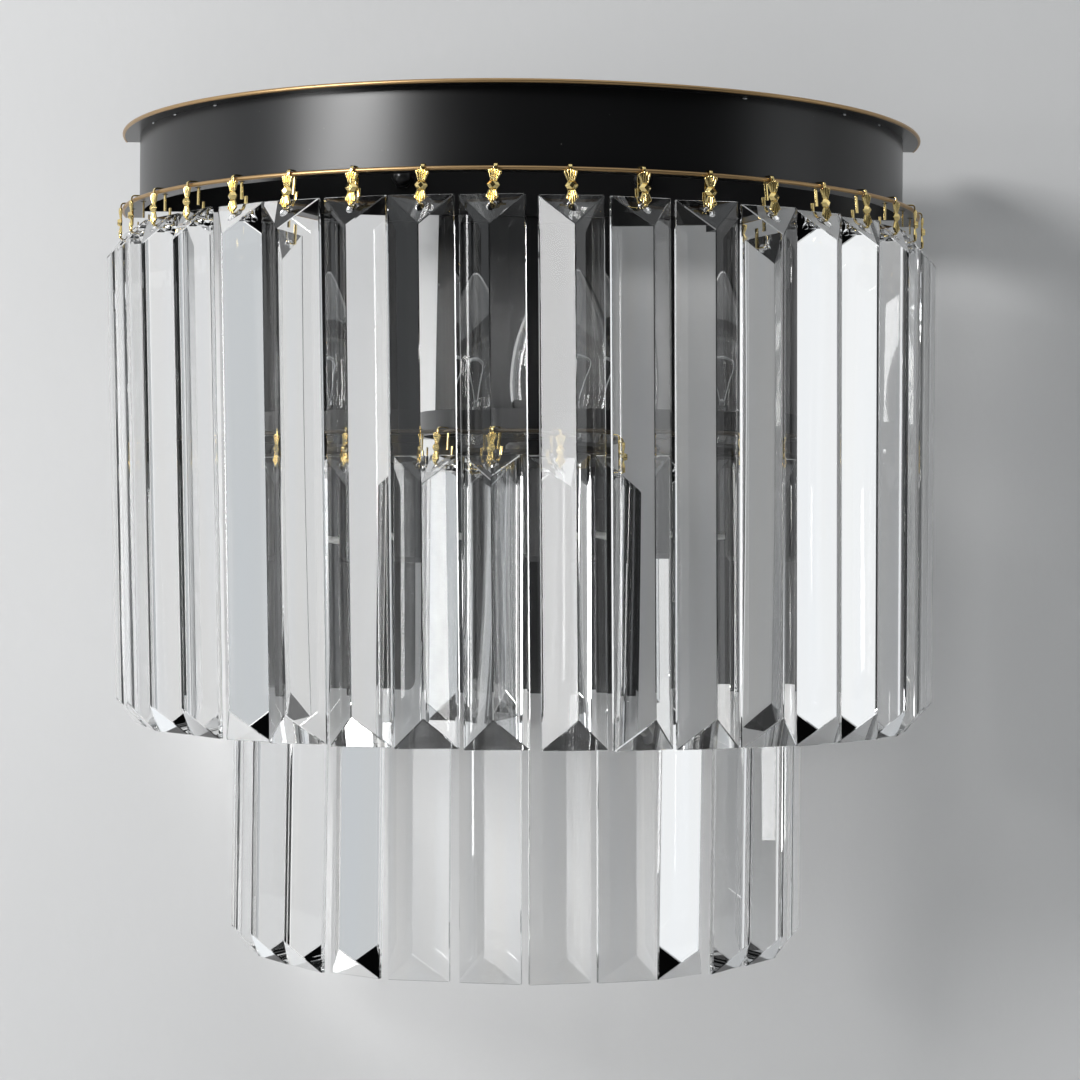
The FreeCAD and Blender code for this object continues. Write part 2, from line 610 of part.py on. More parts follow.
def bulb_outline(inset):
    """Edges of the candle bulb's half outline, from tip to neck, each arc running on into the next."""
    tip_centre = Vector(0, 0, BULB_HEIGHT - BULB_TIP_R)
    rise = tip_centre.z - BULB_BELLY_H
    side_r = (BULB_R ** 2 + rise ** 2 - BULB_TIP_R ** 2) / 2 / (BULB_R - BULB_TIP_R)
    side_centre = Vector(BULB_R - side_r, 0, BULB_BELLY_H)
    tip_angle = math.atan2(rise, side_r - BULB_R)
    taper = BULB_R - BULB_NECK_R
    fall = BULB_BELLY_H - BULB_NECK_H
    both_r = (taper ** 2 + fall ** 2) / 2 / taper
    belly_r = both_r - BULB_FLARE_R
    belly_centre = Vector(BULB_R - belly_r, 0, BULB_BELLY_H)
    flare_centre = Vector(BULB_NECK_R + BULB_FLARE_R, 0, BULB_NECK_H)
    turn = math.atan2(fall, both_r - taper)
    neck = BULB_NECK_R - inset
    return [round_arc(tip_centre, BULB_TIP_R - inset, math.pi / 2, tip_angle),
            round_arc(side_centre, side_r - inset, tip_angle, 0),
            round_arc(belly_centre, belly_r - inset, 0, -turn),
            round_arc(flare_centre, BULB_FLARE_R + inset, math.pi - turn, math.pi),
            Part.makeLine(Vector(neck, 0, BULB_NECK_H), Vector(neck, 0, 0))]


def bulb_glass(side):
    """A hollow candle bulb, open at the bottom into its cap."""
    outer = bulb_outline(0)
    inner = bulb_outline(GLASS_T)
    rim = Part.makeLine(Vector(BULB_NECK_R - GLASS_T, 0, 0), Vector(BULB_NECK_R, 0, 0))
    axis = Part.makeLine(Vector(0, 0, BULB_HEIGHT), Vector(0, 0, BULB_HEIGHT - GLASS_T))
    face = Part.Face(Part.Wire(Part.__sortEdges__([rim] + outer + [axis] + inner)))
    glass = face.revolve(Vector(0, 0, 0), UP, 360)
    glass.translate(lamp_centre(side) + UP * GLASS_LOW)
    return glass


def bulb_cap(side):
    """The bulb's metal cap: skirt, thread drawn as rings, insulator and tip."""
    thread_high = -CAP_SKIRT_H
    thread_low = thread_high - CAP_THREAD_H
    pitch = CAP_THREAD_H / THREAD_TURNS
    root_r = CAP_THREAD_R - THREAD_DEPTH
    outline = [(0, -CAP_HEIGHT), (CAP_TIP_R - TIP_BEVEL, -CAP_HEIGHT), (CAP_TIP_R, -CAP_HEIGHT + TIP_BEVEL),
               (CAP_TIP_R, -CAP_HEIGHT + TIP_RISE), (CAP_THREAD_R - CAP_NOSE, thread_low)]
    for i in range(THREAD_TURNS):
        start = thread_low + pitch * i
        outline += [(CAP_THREAD_R, start + pitch * share) for share in (0.35, 0.65)]
        outline.append((root_r, start + pitch))
    outline += [(CAP_SKIRT_R, thread_high + TIP_RISE), (CAP_SKIRT_R, 0), (0, 0)]
    return turned(outline, lamp_centre(side) + UP * GLASS_LOW)


# ---- wiring ----

def terminal_block():
    """A block with one upright way per pole, fixed to the inside of the back plate's face."""
    half = BLOCK_SIZE.x / 2
    back = -PLATE_DEPTH + SHEET
    block = box(Vector(-half, back, BLOCK_LOW), Vector(half, back + BLOCK_SIZE.y, BLOCK_LOW + BLOCK_SIZE.z))
    high = BLOCK_LOW + BLOCK_SIZE.z
    for i in range(BLOCK_POLES):
        x = POLE_PITCH * (i - (BLOCK_POLES - 1) / 2)
        block = block.cut(rod(POLE_R, Vector(x, -BLOCK_MIDDLE, BLOCK_LOW - 1),
                              Vector(x, -BLOCK_MIDDLE, high + 1)))
    return block


def grommet():
    """A rubber ring in the back plate's face, with a lip on each side of the sheet."""
    face_y, inside_y = -PLATE_DEPTH, -PLATE_DEPTH + SHEET
    front, rear = face_y - GROMMET_FLANGE_T, inside_y + GROMMET_FLANGE_T
    outline = [(GROMMET_BORE_R, front), (GROMMET_FLANGE_R, front), (GROMMET_FLANGE_R, face_y),
               (GROMMET_NECK_R, face_y), (GROMMET_NECK_R, inside_y), (GROMMET_FLANGE_R, inside_y),
               (GROMMET_FLANGE_R, rear), (GROMMET_BORE_R, rear)]
    face = polygon([Vector(r, y, 0) for r, y in outline])
    ring = face.revolve(Vector(0, 0, 0), Vector(0, 1, 0), 360)
    ring.translate(UP * GROMMET_Z)
    return ring


def lead_points(side):
    """A lead's corners: down from the terminal block, forward through the grommet, across to its holder."""
    y = -BLOCK_MIDDLE
    x = side * LEAD_X
    start, _ = lead_entry(side)
    z = GROMMET_Z - LEAD_DROP
    return [Vector(x, y, BLOCK_LOW), Vector(x, y, z), Vector(x, -LEAD_RUN, z), start]


def lead_entry(side):
    """Where a lead enters its holder: a point inside the wall, and one outside on the lead's line."""
    bend = Vector(side * LEAD_X, -LEAD_RUN, GROMMET_Z - LEAD_DROP)
    axis_point = lamp_centre(side) + UP * LEAD_ENTRY_Z
    along = axis_point - bend
    along.normalize()
    wall_r = HOLDER_FOOT_R + (SKIRT_R - HOLDER_FOOT_R) / 2
    inside = axis_point - along * (wall_r - LEAD_ENTRY_DEPTH)
    return inside + along * HANG_GAP, inside - along * 2 * SKIRT_R


def lamp_lead(side):
    """A round lead of straight runs joined by tangent arcs."""
    points = lead_points(side)
    points[-1] = points[-1] - (points[-1] - points[-2]).normalize() * HANG_GAP
    path = bent_wire(points, [LEAD_BEND_R] * 2)
    ring = Part.Wire(Part.makeCircle(LEAD_R, points[0], -UP))
    return path.makePipeShell([ring], True, True)


# ---- the whole lamp ----

def nodes():
    """Every node's name and its solids."""
    band_low, band_high = DRUM_LOW + SHEET, DRUM_TOP - SHEET
    ring_band_low = RING_LOW + SHEET
    ring_band_high = ring_band_low + RING_BAND_HEIGHT
    top_flange_low = DRUM_TOP - SHEET
    found = {
        "wall_bracket": [wall_bracket()],
        "bracket_studs": [bracket_stud(x) for x, _, _ in STUD_HOLES],
        "cap_nuts": [cap_nut(x) for x, _, _ in STUD_HOLES],
        "earth_screw": [pan_screw(Vector(EARTH_X, -BRACKET_T, 0), BRACKET_T - HANG_GAP)],
        "back_plate": [back_plate()],
        "drum_back_strip": [back_strip(BAND_R, band_low, band_high, STUD_HOLES)],
        "drum_band": [half_ring(BAND_R - SHEET, BAND_R, band_low, band_high)],
        "top_flange": [flange(DRUM_R, top_flange_low, [])],
        "lower_flange": [flange(DRUM_R, DRUM_LOW, DRUM_ANGLES)],
        "top_edge": [brass_edge(DRUM_R, top_flange_low + SHEET / 2)],
        "lower_edge": [brass_edge(DRUM_R, DRUM_FLANGE_MID)],
        "inner_band": [in_front_of_plate(half_ring(RING_BAND_R - SHEET, RING_BAND_R, ring_band_low,
                                                   ring_band_high))],
        "inner_back_strip": [back_strip(RING_BAND_R, ring_band_low, ring_band_high, RING_SCREW_HOLES)],
        "inner_flange": [in_front_of_plate(flange(RING_R, RING_LOW, RING_ANGLES))],
        "inner_edge": [in_front_of_plate(brass_edge(RING_R, RING_FLANGE_MID))],
        "lamp_bracket": [lamp_bracket()],
        "frame_screws": frame_screws(),
        "shade_rings": [shade_ring(side) for side in (-1, 1)],
        "holder_contacts": [make(side) for side in (-1, 1) for make in (screw_shell, centre_contact)],
        "terminal_block": [terminal_block()],
        "grommet": [grommet()],
        "lamp_leads": [lamp_lead(side) for side in (-1, 1)],
    }
    for side, word in ((-1, "left"), (1, "right")):
        found["lampholder_" + word] = [lampholder(side)]
        found["bulb_glass_" + word] = [bulb_glass(side)]
        found["bulb_cap_" + word] = [bulb_cap(side)]
    tiers = (("outer", DRUM_R, DRUM_FLANGE_MID, DRUM_ANGLES), ("inner", RING_R, RING_FLANGE_MID, RING_ANGLES))
    for word, edge_r, flange_mid, angles in tiers:
        one_clip, one_prism = clip(edge_r, flange_mid), prism(edge_r, flange_mid)
        found[word + "_clips"] = [turned_to(one_clip, a) for a in angles]
        for i, angle in enumerate(angles):
            found[f"{word}_prism_{i + 1:02d}"] = [turned_to(one_prism, angle)]
    return found


def main():
    os.makedirs("parts", exist_ok=True)
    for name, solids in nodes().items():
        shape = solids[0] if len(solids) == 1 else Part.makeCompound(solids)
        shape.exportStep(f"parts/{name}.step")
    for word, edge_r, flange_mid, angles in (("outer", DRUM_R, DRUM_FLANGE_MID, DRUM_ANGLES),
                                             ("inner", RING_R, RING_FLANGE_MID, RING_ANGLES)):
        degrees = math.degrees(angles[1] - angles[0])
        print(f"{word}: {len(angles)} prisms, {degrees:.3f} degrees apart, pivot at radius "
              f"{pivot_radius(edge_r):.3f}, height {flange_mid - PRONG_DROP:.3f}")


main()
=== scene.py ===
import json
import math
import random
import bmesh
import bpy
from mathutils import Matrix, Vector


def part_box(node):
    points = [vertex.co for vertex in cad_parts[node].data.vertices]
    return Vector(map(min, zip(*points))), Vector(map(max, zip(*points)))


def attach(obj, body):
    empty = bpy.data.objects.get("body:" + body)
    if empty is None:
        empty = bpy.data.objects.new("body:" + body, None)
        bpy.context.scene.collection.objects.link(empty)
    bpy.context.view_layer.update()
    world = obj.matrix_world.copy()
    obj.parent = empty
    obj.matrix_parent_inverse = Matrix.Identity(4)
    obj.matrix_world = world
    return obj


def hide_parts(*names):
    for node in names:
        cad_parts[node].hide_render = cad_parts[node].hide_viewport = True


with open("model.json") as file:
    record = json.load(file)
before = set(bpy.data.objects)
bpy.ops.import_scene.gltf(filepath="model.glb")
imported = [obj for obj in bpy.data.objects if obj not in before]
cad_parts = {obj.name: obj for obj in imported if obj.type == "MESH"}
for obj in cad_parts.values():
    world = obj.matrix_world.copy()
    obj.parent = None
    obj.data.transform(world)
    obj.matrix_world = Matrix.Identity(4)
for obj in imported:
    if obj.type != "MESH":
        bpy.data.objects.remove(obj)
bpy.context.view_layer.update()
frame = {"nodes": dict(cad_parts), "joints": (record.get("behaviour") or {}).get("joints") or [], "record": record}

MM = 0.001
DEGREE = math.pi / 180

# ---- prisms: the cut glass bars of both tiers ----
PRISM_WIDTH = 22.0 * MM
PRISM_DEPTH = 10.6 * MM         # flat back to the ridge
PRISM_SIDE = 1.5 * MM           # narrow side faces
PRISM_END = 10.5 * MM           # length of the sloping triangle at each end
PRISM_BACK = 3.235 * MM         # flat back behind the line that the prism swings about
PRISM_HOLE_R = 1.5 * MM
PRISM_HOLE_DROP = 4.5 * MM      # hole's centre below the top
PRISM_EDGE = 0.26 * MM          # narrow flat ground along every edge
PRISM_SHARP = 15 * DEGREE       # edges sharper than this get that flat
HOLE_SEGMENTS = 40
DRAG_IN = 0.013                 # lower ends hang this share of their length nearer to the wall

# How the loose prisms hang, from left to right: turned to the right in degrees, slipped to the right on
# the clip in millimetres, and lower end to the right in thousandths of the length.
OUTER_HANG = [(5, 0, 28), (-6, 0, 28), (5, 0, 27), (-8, -0.5, 26), (0, 0, 24), (7, -1.5, 23),
              (4, -0.3, 20), (8, -0.9, 19), (-3, -1.4, 17), (1, 0.9, 15), (9, 0.8, 14), (-9, 0, 12),
              (-7, 1.5, 9), (-4, 1.5, 9), (-10, 1.5, 6), (-5, 0, 4), (5, 0, 2), (-3, 0, 0)]
INNER_HANG = [(3, -0.5, -4), (4, -1.5, -4), (-6, -1.5, -8), (-3, -1.5, -4), (8, -1.5, 6), (-7, -1, 10),
              (4, -0.4, 11), (-5, 0, 10), (6, 1.5, -6), (8, 1.5, -3), (-7, 1.5, 2), (5, 0.4, 0)]

# ---- clips ----
STRIP_WIDTH = 1.15 * MM
STRIP_T = 0.5 * MM
PRONG_DROP = 11.85 * MM         # prong below the middle of the brass edge
BEAD_DROP = 5.8 * MM            # bead's middle below the middle of the brass edge
BEAD_WIDTH = 4.3 * MM
BEAD_HEIGHT = 3.2 * MM
BEAD_RISE = 1.3 * MM
WAIST_RISE = 1.5 * MM           # fans begin this far above and below the bead's middle
WAIST_WIDTH = 2.3 * MM
CREST_WIDTH = 4.7 * MM          # upper fan at its rim
CREST_SIDE = 3.1 * MM           # upper fan's height at its sides
CREST_MIDDLE = 3.9 * MM
TAIL_WIDTH = 4.3 * MM           # lower fan, which ends in a point
TAIL_SIDE = 2.5 * MM
TAIL_MIDDLE = 4.4 * MM
RIB_HEIGHT = 0.55 * MM
RIBS = 5
RIB_STEPS = 8                   # mesh steps across one rib, and along a fan
RIB_ROUNDNESS = 0.6             # below 1 is a full rib with a narrow groove
RIB_AT_WAIST = 0.35             # share of its height that a rib has where it begins
SCALLOP = 0.2 * MM              # depth of the notch in a fan's rim between two ribs
CREST_ROUND = 2.0               # how a fan's rim falls to its sides: 2 is round
TAIL_ROUND = 1.1                # and 1 comes to a point
FAN_T = 0.7 * STRIP_T           # stamping thins the fans
BEAD_SHOULDER = 0.5             # corners of the bead's outline, as a share of its half width
BEAD_TABLE_WIDTH = 0.42         # bead's front facet, as shares of its half width and half height
BEAD_TABLE_HEIGHT = 0.6
PLATE_X = 1.9 * MM              # clip's front plate in front of the prong's pivot
CLIP_REAR_X = -2.44 * MM        # rear leg, through the flange's hole
CLIP_REAR_LENGTH = 6.5 * MM
CLIP_OVER = 1.35 * MM           # loop's middle above the middle of the brass edge
CLIP_FOLD_BEHIND = 1.15 * MM    # folded-up leg behind the prism's back
CLIP_FOLD_RISE = 6.6 * MM       # folded-up leg above the prong
PRONG_SLOPE = 11 * DEGREE       # the prong falls this much towards the back
CLIP_LOOP_R = 1.3 * MM          # bends over the brass edge
CLIP_BEND_R = 0.5 * MM          # bends at the prong
CLIP_EDGE = 0.05 * MM           # rounding of the stamped strip's edges
CLIP_SHARP = 50 * DEGREE        # edges sharper than this are rounded
CLIP_CREASE = 32 * DEGREE       # and edges sharper than this stay creased
CORNER_SHARE = 0.48             # most of a straight length that the bend at one end takes up
CLIP_FOLLOW = 0.8               # share of its prism's turn that a clip makes in its hole
CLIP_TURN = 1.2                 # and at most this many degrees of its own
CLIP_ROCK = 0.9                 # share of its prism's slip that a clip's prong rocks sideways

# ---- glass ----
CRYSTAL_INDEX = 1.58
BULB_INDEX = 1.50
LIGHT_THROUGH = 0.64            # share of light that one face of clear glass lets into its shadow

# ---- bulbs ----
STEM_OUTLINE = [(0, 1), (6.4, 1), (4.2, 5), (2.9, 9), (2.5, 21), (1.5, 26), (0, 27)]   # radius, height, mm
WIRE_ROUTE = [(0.8, 24), (2.0, 28), (4.0, 33)]      # a support's way out of the stem: aside, height, mm
STEM_SEGMENTS = 32
WIRE_R = 0.22 * MM
FILAMENT_R = 0.10 * MM
FILAMENT_COIL_R = 0.5 * MM
FILAMENT_HALF = 6.5 * MM
FILAMENT_RISE = 40.0 * MM       # above the glass's lower edge
FILAMENT_TURNS = 22
FILAMENT_BOW = 1.5 * MM         # middle above the ends
TURN_STEPS = 10                 # mesh steps in one turn
HOOK_LENGTH = 2.0 * MM          # upright end of a support
BULB_TURN = 35 * DEGREE         # how far round the bulbs are screwed in

# ---- drum ----
WELD_ANGLES = [-69, -60, -49, 30, 50, 61]   # tack welds under the top flange, from the front, in degrees
WELD_LENGTH = 1.9 * MM
WELD_HEIGHT = 0.8 * MM
WELD_UNEVEN = 0.06

# ---- studio, in metres ----
WALL_GAP = 26.0 * MM            # wall behind the lamp's back plane
WALL_HALF = 2.2
FLOOR_Z = -0.95
FLOOR_FRONT = -3.0
LIGHTS = {                      # place, point that it faces, width, height, power in watts
    "key": ((-1.15, -1.10, 0.40), (0, -0.05, -0.12), 0.48, 0.38, 15),
    "left_panel": ((-1.38, -0.83, -0.06), (0, -0.1, -0.12), 0.30, 0.80, 7.5),
    "right_panel": ((1.40, -0.30, -0.15), (0, -0.1, -0.12), 0.60, 0.80, 0.65),
    "top_fill": ((0.0, -0.7, 1.3), (0, -0.1, -0.1), 1.6, 1.2, 2),
}

# The room's brightness in front, then what is added above, below, at the left and at the right: a brightness,
# and the upward or sideways part of a direction where it begins and where it is full.
ROOM = 0.035
ROOM_ABOVE = (0.55, 0.25, 0.60)
ROOM_BELOW = (0.14, 0.30, 0.65)
ROOM_LEFT = (0.62, 0.70, 0.90)
ROOM_RIGHT = (0.52, 0.86, 0.96)
ROOM_COLOUR = (0.93, 0.97, 1.0)

# ---- camera ----
CAMERA_PLACE = Vector((-0.0263, -1.0667, -0.1383))
CAMERA_TURN = 1.848 * DEGREE    # to the right
CAMERA_LIFT = 0.171 * DEGREE
CAMERA_ROLL = 0.482 * DEGREE    # the picture's right side is lower
CAMERA_LENS = 93.71
SENSOR = 36.0
GLASS_BOUNCES = 28              # light crosses many faces on its way through both tiers


# ---- finishes ----

class Field:
    """A number that varies over a surface. Arithmetic on it adds Math nodes to the finish's tree."""

    def __init__(self, finish, socket):
        self.finish = finish
        self.socket = socket

    def math(self, operation, *values):
        inputs = dict(enumerate(values))
        return self.finish.add("ShaderNodeMath", {"operation": operation}, inputs)

    def __add__(self, other):
        return self.math("ADD", self, other)

    def __radd__(self, other):
        return self.math("ADD", other, self)

    def __sub__(self, other):
        return self.math("SUBTRACT", self, other)

    def __rsub__(self, other):
        return self.math("SUBTRACT", other, self)

    def __mul__(self, other):
        return self.math("MULTIPLY", self, other)

    def __rmul__(self, other):
        return self.math("MULTIPLY", other, self)

    def above(self, low, high):
        """0 up to low, 1 from high, and smooth between them."""
        return self.finish.add("ShaderNodeMapRange", {"interpolation_type": "SMOOTHSTEP"},
                               {"Value": self, "From Min": low, "From Max": high})


class Tree:
    """A node tree that is built by adding nodes from their type, settings and inputs."""

    def __init__(self, owner):
        owner.use_nodes = True
        self.tree = owner.node_tree
        self.tree.nodes.clear()

    def add(self, kind, settings=None, inputs=None, output=0):
        node = self.tree.nodes.new(kind)
        for name, value in (settings or {}).items():
            setattr(node, name, value)
        for key, value in (inputs or {}).items():
            if isinstance(value, Field):
                self.tree.links.new(value.socket, node.inputs[key])
            else:
                node.inputs[key].default_value = value
        return Field(self, node.outputs[output]) if node.outputs else None

    def place(self):
        """Where a point lies, in metres, in the lamp's own frame."""
        return self.add("ShaderNodeTexCoord", output="Object")

    def noise(self, per_metre, stretch=(1, 1, 1), detail=3.0):
        """Soft blotches from 0 to 1, about this many in a metre."""
        where = self.add("ShaderNodeVectorMath", {"operation": "MULTIPLY"}, {0: self.place(), 1: stretch})
        return self.add("ShaderNodeTexNoise", None, {"Vector": where, "Scale": per_metre, "Detail": detail})

    def cells(self, per_metre):
        """Distance from the nearest of many scattered points, as a share of their spacing."""
        return self.add("ShaderNodeTexVoronoi", None, {"Vector": self.place(), "Scale": per_metre})

    def blend(self, share, first, second):
        """One colour at share 0, the other at share 1."""
        return self.add("ShaderNodeMix", {"data_type": "RGBA"},
                        {"Factor": share, "A": (*first, 1), "B": (*second, 1)}, output="Result")

    def bump(self, height, depth):
        return self.add("ShaderNodeBump", None, {"Strength": 1.0, "Distance": depth, "Height": height})


class Finish(Tree):
    """A surface finish round one main shader."""

    def __init__(self, name, **inputs):
        self.material = bpy.data.materials.new(name)
        super().__init__(self.material)
        self.inputs = {key.replace("_", " "): value for key, value in inputs.items()}

    def done(self, light_through=None, **varying):
        """Closes the tree with the shader, its fixed inputs and those that vary. With light_through, clear
        glass lets that share of the studio's light into its shadow at each face."""
        self.inputs.update({key.replace("_", " "): value for key, value in varying.items()})
        shader = self.add("ShaderNodeBsdfPrincipled", None, self.inputs)
        if light_through is not None:
            shaded = self.add("ShaderNodeLightPath", output="Is Shadow Ray")
            passed = self.add("ShaderNodeBsdfTransparent", None, {"Color": (*[light_through] * 3, 1)})
            shader = self.add("ShaderNodeMixShader", None, {0: shaded, 1: shader, 2: passed})
        self.add("ShaderNodeOutputMaterial", None, {"Surface": shader})
        return self.material


def satin_black():
    """Powder coat: a soft sheen, a fine orange-peel grain and a few grains of dust."""
    coat = Finish("satin_black")
    peel = coat.noise(1400, detail=2.0)
    cloud = coat.noise(26)
    dust = 1 - coat.cells(240).above(0.035, 0.06)
    dust = dust * coat.noise(90).above(0.55, 0.7)
    return coat.done(Base_Color=coat.blend(dust * 0.5, (0.002, 0.002, 0.0023), (0.16, 0.155, 0.15)),
                     Roughness=0.27 + cloud * 0.06 + dust * 0.2,
                     Normal=coat.bump(peel, 0.003 * MM))


def brushed_brass(name, colour, dark, rough):
    """Lacquered brass with fine lines along the edge and duller patches."""
    metal = Finish(name, Metallic=1.0)
    lines = metal.noise(900, (0.12, 0.12, 4.0), 2.0)
    patch = metal.noise(60)
    return metal.done(Base_Color=metal.blend(lines * 0.5 + patch * 0.4, colour, dark),
                      Roughness=rough + patch * 0.12,
                      Normal=metal.bump(lines, 0.006 * MM))


def polished_brass():
    """Bright plate on stamped strip, with small dull marks."""
    metal = Finish("polished_brass", Metallic=1.0)
    mark = metal.noise(700).above(0.5, 0.75)
    soft = metal.noise(240)
    return metal.done(Base_Color=metal.blend(mark * 0.6, (0.90, 0.71, 0.31), (0.68, 0.47, 0.15)),
                      Roughness=0.09 + mark * 0.14,
                      Normal=metal.bump(soft, 0.012 * MM))


def clear_glass(name, ior, smear):
    """Clear glass with faint smears, a trace of polishing waves, and faint blue and warm streaks of tint in its
    colour: painted light that stands in for the coloured fringes that cut glass splits light into.
    """
    glass = Finish(name, IOR=ior, Transmission_Weight=1.0)
    touched = glass.noise(70).above(0.56, 0.8)
    wave = glass.noise(30, (1, 1, 0.3), 1.0)
    # painted light: faint upright streaks of blue and warm tint, standing in for the coloured fringes of split
    # light
    painted_fringe = glass.noise(160, (1, 1, 0.05), 1.0).above(0.35, 0.65)
    return glass.done(light_through=LIGHT_THROUGH,
                      Base_Color=glass.blend(painted_fringe, (0.985, 0.993, 1.0), (1.0, 0.996, 0.985)),
                      Roughness=touched * smear,
                      Normal=glass.bump(wave, 0.0008 * MM))


def ground_edge():
    """The finely ground, milky flat along a prism's edges."""
    edge = Finish("ground_edge", Transmission_Weight=0.45, IOR=1.52)
    grain = edge.noise(2600, detail=2.0)
    return edge.done(Base_Color=edge.blend(grain, (0.96, 0.97, 0.97), (0.86, 0.88, 0.88)),
                     Roughness=0.30 + grain * 0.15,
                     Normal=edge.bump(grain, 0.01 * MM))


def plain_metal(name, colour, dull, rough, per_metre):
    """Bright metal with fine scratches."""
    metal = Finish(name, Metallic=1.0)
    scratch = metal.noise(per_metre, (1, 1, 6), 4.0)
    return metal.done(Base_Color=metal.blend(scratch, colour, dull),
                      Roughness=rough + scratch * 0.18,
                      Normal=metal.bump(scratch, 0.006 * MM))


def moulded(name, colour, worn, rough):
    """Moulded plastic or rubber with a fine skin."""
    skin = Finish(name)
    grain = skin.noise(1800, detail=2.0)
    cloud = skin.noise(60)
    return skin.done(Base_Color=skin.blend(cloud * 0.6, colour, worn),
                     Roughness=rough + cloud * 0.15,
                     Normal=skin.bump(grain, 0.01 * MM))


# One finish for each of the record's slots, one for the prisms' edges, and a darkened copy of the brushed
# brass: painted shade for the inner tier's brass edge, which lies in shade inside the lamp under the drum.
FINISHES = {
    "satin_black": satin_black(),
    "brushed_brass": brushed_brass("brushed_brass", (0.56, 0.38, 0.19), (0.34, 0.21, 0.10), 0.30),
    "polished_brass": polished_brass(),
    "crystal": clear_glass("crystal", CRYSTAL_INDEX, 0.02),
    "bulb_glass": clear_glass("bulb_glass", BULB_INDEX, 0.01),
    "cap_metal": plain_metal("cap_metal", (0.80, 0.80, 0.79), (0.60, 0.60, 0.60), 0.2, 400),
    "contact_brass": plain_metal("contact_brass", (0.75, 0.58, 0.28), (0.5, 0.36, 0.16), 0.25, 400),
    "zinc_steel": plain_metal("zinc_steel", (0.66, 0.67, 0.68), (0.45, 0.46, 0.47), 0.32, 260),
    "holder_plastic": moulded("holder_plastic", (0.014, 0.014, 0.015), (0.03, 0.03, 0.03), 0.25),
    "block_plastic": moulded("block_plastic", (0.80, 0.80, 0.76), (0.70, 0.69, 0.64), 0.45),
    "ground_edge": ground_edge(),
    # painted shade: the brushed brass darkened nearly to black for the inner tier's edge, which lies in shade
    # under the drum
    "inner_edge": brushed_brass("inner_edge", (0.08, 0.066, 0.05), (0.045, 0.04, 0.034), 0.36),
    "rubber": moulded("rubber", (0.02, 0.02, 0.02), (0.045, 0.045, 0.045), 0.55),
    "lead_sheath": moulded("lead_sheath", (0.72, 0.72, 0.69), (0.60, 0.60, 0.57), 0.4),
}


def dress(thing, finish):
    """Gives an object one of the finishes in place of what it has."""
    thing.data.materials.clear()
    thing.data.materials.append(FINISHES[finish])


# ---- meshes ----

def new_piece(name, mesh, slot, body, *nodes):
    """An object made from a mesh, dressed, riding on a body and standing for the nodes that it replaces."""
    thing = bpy.data.objects.new(name, mesh)
    bpy.context.scene.collection.objects.link(thing)
    dress(thing, slot)
    if nodes:
        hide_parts(*nodes)
    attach(thing, body)
    return thing


def mesh_of(name, points, faces):
    mesh = bpy.data.meshes.new(name)
    mesh.from_pydata([tuple(p) for p in points], [], faces)
    mesh.update()
    return mesh


def finished(mesh, modifiers, smooth_angle=None):
    """The mesh after some modifiers, (type, settings) each. With an angle, it is smooth across every edge
    that is flatter."""
    thing = bpy.data.objects.new("work", mesh)
    bpy.context.scene.collection.objects.link(thing)
    for kind, settings in modifiers:
        modifier = thing.modifiers.new(kind.lower(), kind)
        for name, value in settings.items():
            setattr(modifier, name, value)
    bpy.context.view_layer.update()
    result = bpy.data.meshes.new_from_object(thing.evaluated_get(bpy.context.evaluated_depsgraph_get()))
    bpy.data.objects.remove(thing)
    if smooth_angle is not None:
        result.shade_smooth()
        result.set_sharp_from_angle(angle=smooth_angle)
    return result


def turned_mesh(name, outline, segments):
    """A full turn of (radius, height) points about the upright axis."""
    points, faces = [], []
    for i in range(segments):
        a = 2 * math.pi * i / segments
        points += [(r * math.cos(a), r * math.sin(a), z) for r, z in outline]
    count = len(outline)
    for i in range(segments):
        here, there = i * count, (i + 1) % segments * count
        for j in range(count - 1):
            faces.append((here + j, there + j, there + j + 1, here + j + 1))
    mesh = mesh_of(name, points, faces)
    work = bmesh.new()
    work.from_mesh(mesh)
    bmesh.ops.remove_doubles(work, verts=work.verts, dist=0.001 * MM)
    bmesh.ops.recalc_face_normals(work, faces=work.faces)
    work.to_mesh(mesh)
    work.free()
    return mesh


def joined(name, meshes):
    """One mesh from several."""
    work = bmesh.new()
    for mesh in meshes:
        work.from_mesh(mesh)
    result = bpy.data.meshes.new(name)
    work.to_mesh(result)
    work.free()
    return result


def rounded_path(corners, radius, steps):
    """Points of a path in the plane y = 0, given as (x, z) corners, each rounded in so many steps."""
    points = [Vector(corners[0])]
    for before, corner, after in zip(corners, corners[1:], corners[2:]):
        before, corner, after = Vector(before), Vector(corner), Vector(after)
        into, out = corner - before, after - corner
        reach = min(radius, into.length * CORNER_SHARE, out.length * CORNER_SHARE)
        start, end = corner - into.normalized() * reach, corner + out.normalized() * reach
        for i in range(steps + 1):
            t = i / steps
            points.append(start * (1 - t) ** 2 + corner * 2 * t * (1 - t) + end * t ** 2)
    points.append(Vector(corners[-1]))
    return points


def strip_mesh(name, path, width, thick):
    """A flat strip that follows a path in the plane y = 0."""
    points, faces = [], []
    for i, here in enumerate(path):
        before, after = path[max(i - 1, 0)], path[min(i + 1, len(path) - 1)]
        along = (after - before).normalized()
        side = Vector((-along.y, along.x)) * thick / 2
        for y, offset in ((-width / 2, side), (width / 2, side), (width / 2, -side), (-width / 2, -side)):
            p = here + offset
            points.append((p.x, y, p.y))
    last = (len(path) - 1) * 4
    for i in range(len(path) - 1):
        for j in range(4):
            k = (j + 1) % 4
            faces.append((i * 4 + j, i * 4 + k, i * 4 + 4 + k, i * 4 + 4 + j))
    faces += [(3, 2, 1, 0), (last, last + 1, last + 2, last + 3)]
    return mesh_of(name, points, faces)


# ---- prisms ----

